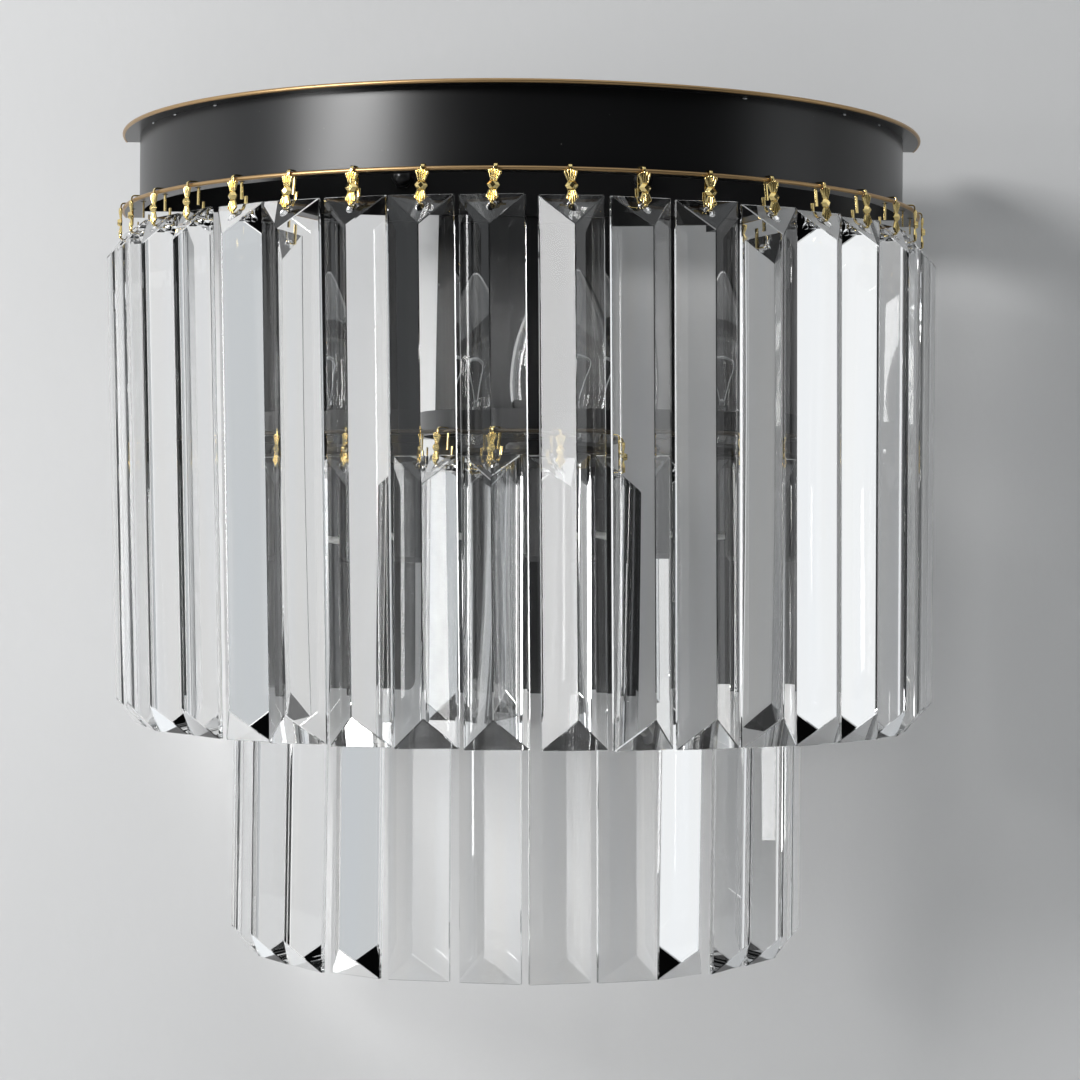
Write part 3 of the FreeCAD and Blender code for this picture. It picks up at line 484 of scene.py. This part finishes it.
def swing(joint_name):
    """The pivot of a hanging prism, and the frame whose X points outward from it and Y along the ring."""
    joint = next(j for j in frame["joints"] if j["name"] == joint_name)
    pivot, axis = Vector(joint["pos_m"]), Vector(joint["axis"])
    outward = Vector((-axis.y, axis.x, 0)).normalized()
    sideways = Vector((0, 0, 1)).cross(outward)
    turn = Matrix((outward, sideways, Vector((0, 0, 1)))).transposed().to_4x4()
    return pivot, turn


def prism_mesh(top, low):
    """A prism round its own pivot at the origin: X is outward, top and low are heights above the pivot."""
    back, front, ridge = -PRISM_BACK, PRISM_SIDE - PRISM_BACK, PRISM_DEPTH - PRISM_BACK
    half = PRISM_WIDTH / 2
    points = [(back, -half, low), (back, half, low), (back, half, top), (back, -half, top),
              (front, -half, low), (front, half, low), (front, half, top), (front, -half, top),
              (ridge, 0, low + PRISM_END), (ridge, 0, top - PRISM_END)]
    faces = [(3, 2, 1, 0), (0, 1, 5, 4), (2, 3, 7, 6), (1, 2, 6, 5), (3, 0, 4, 7),
             (4, 5, 8), (6, 7, 9), (5, 6, 9, 8), (7, 4, 8, 9)]
    body = mesh_of("prism", points, faces)
    body = finished(body, [("BEVEL", {"width": PRISM_EDGE, "segments": 1, "limit_method": "ANGLE",
                                      "angle_limit": PRISM_SHARP, "material": 1})])
    start, end = back * 3, ridge * 3
    drill = turned_mesh("drill", [(0, start), (PRISM_HOLE_R, start), (PRISM_HOLE_R, end), (0, end)],
                        HOLE_SEGMENTS)
    drill.shade_smooth()
    place = Matrix.Translation((0, 0, top - PRISM_HOLE_DROP)) @ Matrix.Rotation(math.pi / 2, 4, "Y")
    drill.transform(place)
    cutter = bpy.data.objects.new("drill", drill)
    bpy.context.scene.collection.objects.link(cutter)
    result = finished(body, [("BOOLEAN", {"operation": "DIFFERENCE", "object": cutter, "solver": "EXACT"})])
    bpy.data.objects.remove(cutter)
    return result


def hang_prisms(tier, hang):
    """Hangs one tier's prisms, each turned, slipped and leaning a little on its clip."""
    pattern = None
    for i, (turned, slip, lean) in enumerate(hang):
        name = f"{tier}_prism_{i + 1:02d}"
        pivot, turn = swing(name + "_swing")
        if pattern is None:
            low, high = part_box(name)
            pattern = prism_mesh(high.z - pivot.z, low.z - pivot.z)
        drift = Vector((lean / 1000, DRAG_IN, 0))
        out, aside = drift.dot(turn.col[0].xyz), drift.dot(turn.col[1].xyz)
        mesh = pattern.copy()
        mesh.transform(Matrix.Translation(pivot) @ turn @ Matrix.Translation((0, slip * MM, 0))
                       @ Matrix.Rotation(-out, 4, "Y") @ Matrix.Rotation(aside, 4, "X")
                       @ Matrix.Rotation(turned * DEGREE, 4, "Z"))
        piece = new_piece(name + "_glass", mesh, "crystal", name + "_body", name)
        piece.data.materials.append(FINISHES["ground_edge"])


# ---- clips ----

def fan_mesh(up, rim_width, side, middle, roundness):
    """A fluted fan from its waist at z = 0, up or down (1 or -1). side and middle are its heights there, and
    roundness says how the rim falls between them."""
    across, along = RIBS * RIB_STEPS, RIB_STEPS
    points, faces = [], []
    for back in (0, 1):
        for j in range(along + 1):
            v = j / along
            width = WAIST_WIDTH + (rim_width - WAIST_WIDTH) * v
            for i in range(across + 1):
                u = 2 * i / across - 1
                rib = abs(math.cos(math.pi * u * RIBS / 2)) ** RIB_ROUNDNESS
                reach = middle - (middle - side) * abs(u) ** roundness + SCALLOP * (rib - 1)
                lift = 0 if back else RIB_HEIGHT * rib * min(1.0, RIB_AT_WAIST + v) + FAN_T
                points.append((PLATE_X - STRIP_T / 2 + lift, u * width / 2, up * reach * v))
    row = across + 1
    sheet = row * (along + 1)
    for j in range(along):
        for i in range(across):
            a = j * row + i
            faces.append((a, a + 1, a + row + 1, a + row))
            faces.append((sheet + a, sheet + a + row, sheet + a + row + 1, sheet + a + 1))
    rim = [j * row for j in range(along + 1)]
    rim += [along * row + i for i in range(1, across + 1)]
    rim += [j * row + across for j in range(along - 1, -1, -1)]
    rim += range(across - 1, 0, -1)
    for a, b in zip(rim, rim[1:] + rim[:1]):
        faces.append((a, b, sheet + b, sheet + a))
    return mesh_of("fan", points, faces)


def bead_mesh():
    """The faceted bead in the middle of the bow, pointed at its sides."""
    wide, high = BEAD_WIDTH / 2, BEAD_HEIGHT / 2
    shoulder, table_wide, table_high = wide * BEAD_SHOULDER, wide * BEAD_TABLE_WIDTH, high * BEAD_TABLE_HEIGHT
    rim = [(-wide, 0), (-shoulder, high), (shoulder, high), (wide, 0), (shoulder, -high), (-shoulder, -high)]
    crown = [(-table_wide, 0), (0, table_high), (table_wide, 0), (0, -table_high)]
    points = [(PLATE_X - STRIP_T / 2, y, z) for y, z in rim]
    points += [(PLATE_X + STRIP_T / 3, y, z) for y, z in rim]
    points += [(PLATE_X + BEAD_RISE, y, z) for y, z in crown]
    faces = [(5, 4, 3, 2, 1, 0)] + [(i, (i + 1) % 6, 6 + (i + 1) % 6, 6 + i) for i in range(6)]
    faces += [(6, 7, 13, 12), (7, 8, 13), (8, 9, 14, 13), (9, 10, 15, 14), (10, 11, 15), (11, 6, 12, 15),
              (12, 13, 14, 15)]
    return mesh_of("bead", points, faces)


def clip_mesh():
    """One clip round its prong's pivot at the origin: X is outward, Z up."""
    middle = PRONG_DROP - BEAD_DROP
    upper = fan_mesh(1, CREST_WIDTH, CREST_SIDE, CREST_MIDDLE, CREST_ROUND)
    lower = fan_mesh(-1, TAIL_WIDTH, TAIL_SIDE, TAIL_MIDDLE, TAIL_ROUND)
    bead = bead_mesh()
    upper.transform(Matrix.Translation((0, 0, middle + WAIST_RISE)))
    lower.transform(Matrix.Translation((0, 0, middle - WAIST_RISE)))
    bead.transform(Matrix.Translation((0, 0, middle)))
    over, rear = PRONG_DROP + CLIP_OVER, PRONG_DROP - CLIP_REAR_LENGTH
    hook_corners = [(CLIP_REAR_X, rear), (CLIP_REAR_X, over), (PLATE_X, over), (PLATE_X, middle + WAIST_RISE)]
    hook = strip_mesh("hook", rounded_path(hook_corners, CLIP_LOOP_R, 7), STRIP_WIDTH, STRIP_T)
    fold = -PRISM_BACK - CLIP_FOLD_BEHIND
    prong_corners = [(PLATE_X, middle - WAIST_RISE), (PLATE_X, 0), (0, 0),
                     (fold, fold * math.tan(PRONG_SLOPE)), (fold, CLIP_FOLD_RISE)]
    prong = strip_mesh("prong", rounded_path(prong_corners, CLIP_BEND_R, 4), STRIP_WIDTH, STRIP_T)
    whole = joined("clip", [upper, lower, bead, hook, prong])
    work = bmesh.new()
    work.from_mesh(whole)
    bmesh.ops.recalc_face_normals(work, faces=work.faces)
    work.to_mesh(whole)
    work.free()
    return finished(whole, [("BEVEL", {"width": CLIP_EDGE, "segments": 2, "limit_method": "ANGLE",
                                       "angle_limit": CLIP_SHARP})], CLIP_CREASE)


def hang_clips(tier, hang, seed):
    """One tier's clips as one piece, each turned a little in its hole and rocked to where its prism hangs."""
    chance = random.Random(seed)
    pattern = clip_mesh()
    placed = []
    for i, (turned, slip, _) in enumerate(hang):
        pivot, turn = swing(f"{tier}_prism_{i + 1:02d}_swing")
        rock = math.atan(CLIP_ROCK * slip * MM / PRONG_DROP)
        loop = Vector((0, 0, PRONG_DROP))
        mesh = pattern.copy()
        follow = CLIP_FOLLOW * turned + chance.uniform(-CLIP_TURN, CLIP_TURN)
        mesh.transform(Matrix.Translation(pivot) @ turn
                       @ Matrix.Rotation(follow * DEGREE, 4, "Z")
                       @ Matrix.Translation(loop) @ Matrix.Rotation(rock, 4, "X") @ Matrix.Translation(-loop))
        placed.append(mesh)
    mesh = joined(tier + "_clips", placed)
    mesh.shade_smooth()
    mesh.set_sharp_from_angle(angle=CLIP_CREASE)
    new_piece(tier + "_bow_clips", mesh, "polished_brass", "root", tier + "_clips")


# ---- bulbs ----

def wire_mesh(name, points, radius):
    """A round wire through some points."""
    line = bpy.data.curves.new(name, "CURVE")
    line.dimensions = "3D"
    line.bevel_depth = radius
    line.bevel_resolution = 2
    line.use_fill_caps = True
    spline = line.splines.new("POLY")
    spline.points.add(len(points) - 1)
    for point, place in zip(spline.points, points):
        point.co = (*place, 1)
    thing = bpy.data.objects.new(name, line)
    bpy.context.scene.collection.objects.link(thing)
    bpy.context.view_layer.update()
    mesh = bpy.data.meshes.new_from_object(thing.evaluated_get(bpy.context.evaluated_depsgraph_get()))
    bpy.data.objects.remove(thing)
    mesh.shade_smooth()
    return mesh


def fill_bulb(side):
    """The glass stem, the two wires and the coiled filament inside one bulb."""
    low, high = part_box("bulb_glass_" + side)
    foot = Vector(((low.x + high.x) / 2, (low.y + high.y) / 2, low.z))
    stem = turned_mesh("stem", [(r * MM, z * MM) for r, z in STEM_OUTLINE], STEM_SEGMENTS)
    stem.shade_smooth()
    wires = []
    for way in (-1, 1):
        bend = [(way * x * MM, 0, z * MM) for x, z in WIRE_ROUTE]
        bend += [(way * FILAMENT_HALF, 0, z) for z in (FILAMENT_RISE - HOOK_LENGTH, FILAMENT_RISE)]
        wires.append(wire_mesh("support", bend, WIRE_R))
    coil = []
    steps = FILAMENT_TURNS * TURN_STEPS
    for i in range(steps + 1):
        t = 2 * i / steps - 1
        angle = math.pi * FILAMENT_TURNS * t
        coil.append((t * FILAMENT_HALF, FILAMENT_COIL_R * math.cos(angle),
                     FILAMENT_RISE + FILAMENT_BOW * (1 - t * t) + FILAMENT_COIL_R * math.sin(angle)))
    wires.append(wire_mesh("filament", coil, FILAMENT_R))
    support = joined("filament", wires)
    for mesh in (stem, support):
        mesh.transform(Matrix.Translation(foot) @ Matrix.Rotation(BULB_TURN, 4, "Z"))
    new_piece(f"bulb_stem_{side}", stem, "bulb_glass", "bulb_" + side)
    new_piece(f"bulb_filament_{side}", support, "zinc_steel", "bulb_" + side)


# ---- drum ----

def tack_welds(seed):
    """Small pale beads of weld in the corner between the band and the top flange."""
    chance = random.Random(seed)
    low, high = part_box("drum_band")
    ring_r = (high.x - low.x) / 2
    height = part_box("top_flange")[0].z
    work = bmesh.new()
    for degrees in WELD_ANGLES:
        a = degrees * DEGREE
        place = Matrix.Translation((ring_r * math.sin(a), -ring_r * math.cos(a), height - WELD_HEIGHT / 3))
        made = bmesh.ops.create_icosphere(work, subdivisions=3, radius=1.0)["verts"]
        for vert in made:
            vert.co *= 1 + chance.uniform(-WELD_UNEVEN, WELD_UNEVEN)
            vert.co.x *= WELD_LENGTH / 2
            vert.co.y *= WELD_HEIGHT / 2
            vert.co.z *= WELD_HEIGHT / 2
            vert.co = place @ Matrix.Rotation(a, 4, "Z") @ vert.co
    mesh = bpy.data.meshes.new("tack_welds")
    work.to_mesh(mesh)
    work.free()
    mesh.shade_smooth()
    new_piece("tack_welds", mesh, "zinc_steel", "root")


# ---- studio ----

def stage_plane(name, corners):
    mesh = mesh_of(name, corners, [(0, 1, 2, 3)])
    thing = bpy.data.objects.new(name, mesh)
    bpy.context.scene.collection.objects.link(thing)
    return thing


def wall_paint():
    """Matt pale paint on plaster, clear from behind so that the lamp's back can be seen through it."""
    paint = Tree(bpy.data.materials.new("wall_paint"))
    cloud = paint.noise(3)
    plaster = paint.noise(260, (1, 1, 0.6))
    front = paint.add("ShaderNodeBsdfPrincipled", None, {
        "Base Color": paint.blend(cloud, (0.72, 0.72, 0.72), (0.69, 0.69, 0.69)), "Roughness": 0.9,
        "Normal": paint.bump(plaster, 0.09 * MM)})
    clear = paint.add("ShaderNodeBsdfTransparent")
    behind = paint.add("ShaderNodeNewGeometry", output="Backfacing")
    surface = paint.add("ShaderNodeMixShader", None, {0: behind, 1: front, 2: clear})
    paint.add("ShaderNodeOutputMaterial", None, {"Surface": surface})
    return bpy.data.materials["wall_paint"]


def make_studio():
    """Wall behind the lamp, floor below it, the lights, and a room that is dark in front, dim below, and pale
    above and at both sides."""
    y = WALL_GAP
    wall = stage_plane("wall", [Vector((-WALL_HALF, y, FLOOR_Z)), Vector((WALL_HALF, y, FLOOR_Z)),
                                Vector((WALL_HALF, y, WALL_HALF)), Vector((-WALL_HALF, y, WALL_HALF))])
    wall.data.materials.append(wall_paint())
    floor = stage_plane("floor", [Vector((-WALL_HALF, FLOOR_FRONT, FLOOR_Z)),
                                  Vector((WALL_HALF, FLOOR_FRONT, FLOOR_Z)),
                                  Vector((WALL_HALF, y, FLOOR_Z)), Vector((-WALL_HALF, y, FLOOR_Z))])
    plain = Finish("floor_paint", Roughness=0.8)
    floor.data.materials.append(plain.done(Base_Color=plain.blend(plain.noise(4), (0.5, 0.5, 0.5),
                                                                  (0.47, 0.47, 0.47))))
    for name, light in LIGHTS.items():
        soft_light(name, *light)
    world = bpy.data.worlds.new("studio")
    bpy.context.scene.world = world
    air = Tree(world)
    direction = air.add("ShaderNodeTexCoord", output="Generated")
    across = air.add("ShaderNodeSeparateXYZ", None, {0: direction}, output="X")
    upward = air.add("ShaderNodeSeparateXYZ", None, {0: direction}, output="Z")
    strength = ROOM
    for part, (brightness, begin, full) in ((upward, ROOM_ABOVE), (0 - upward, ROOM_BELOW),
                                            (0 - across, ROOM_LEFT), (across, ROOM_RIGHT)):
        strength = strength + brightness * part.above(begin, full)
    sky = air.add("ShaderNodeBackground", None, {"Color": (*ROOM_COLOUR, 1), "Strength": strength})
    air.add("ShaderNodeOutputWorld", None, {"Surface": sky})


def soft_light(name, place, target, width, height, power):
    lamp = bpy.data.lights.new(name, "AREA")
    lamp.shape = "RECTANGLE"
    lamp.size, lamp.size_y, lamp.energy = width, height, power
    thing = bpy.data.objects.new(name, lamp)
    bpy.context.scene.collection.objects.link(thing)
    thing.location = place
    thing.rotation_euler = (Vector(target) - Vector(place)).to_track_quat("-Z", "Y").to_euler()
    thing.visible_camera = False


def make_camera():
    """The photograph's viewpoint."""
    lens = bpy.data.cameras.new("camera")
    lens.sensor_width, lens.lens = SENSOR, CAMERA_LENS
    lens.clip_start = 0.01
    thing = bpy.data.objects.new("camera", lens)
    bpy.context.scene.collection.objects.link(thing)
    ahead = Vector((math.sin(CAMERA_TURN), math.cos(CAMERA_TURN), math.tan(CAMERA_LIFT))).normalized()
    right = ahead.cross(Vector((0, 0, 1))).normalized()
    up = right.cross(ahead)
    c, s = math.cos(CAMERA_ROLL), math.sin(CAMERA_ROLL)
    right, up = right * c + up * s, up * c - right * s
    thing.matrix_world = Matrix.Translation(CAMERA_PLACE) @ Matrix((right, up, -ahead)).transposed().to_4x4()
    bpy.context.scene.camera = thing


# ---- the whole ----

for node, thing in frame["nodes"].items():
    entry = next(s for s in frame["record"]["subparts"] if s["node"] == node)
    finish = node if node in FINISHES else entry["material_slot"]
    dress(thing, finish)

hang_prisms("outer", OUTER_HANG)
hang_prisms("inner", INNER_HANG)
hang_clips("outer", OUTER_HANG, 3)
hang_clips("inner", INNER_HANG, 5)
fill_bulb("left")
fill_bulb("right")
tack_welds(7)
make_studio()
make_camera()

scene = bpy.context.scene
scene.view_settings.view_transform = "Standard"
scene.cycles.max_bounces = GLASS_BOUNCES
scene.cycles.transmission_bounces = GLASS_BOUNCES
scene.cycles.glossy_bounces = 6
scene.cycles.diffuse_bounces = 4
scene.cycles.transparent_max_bounces = 12
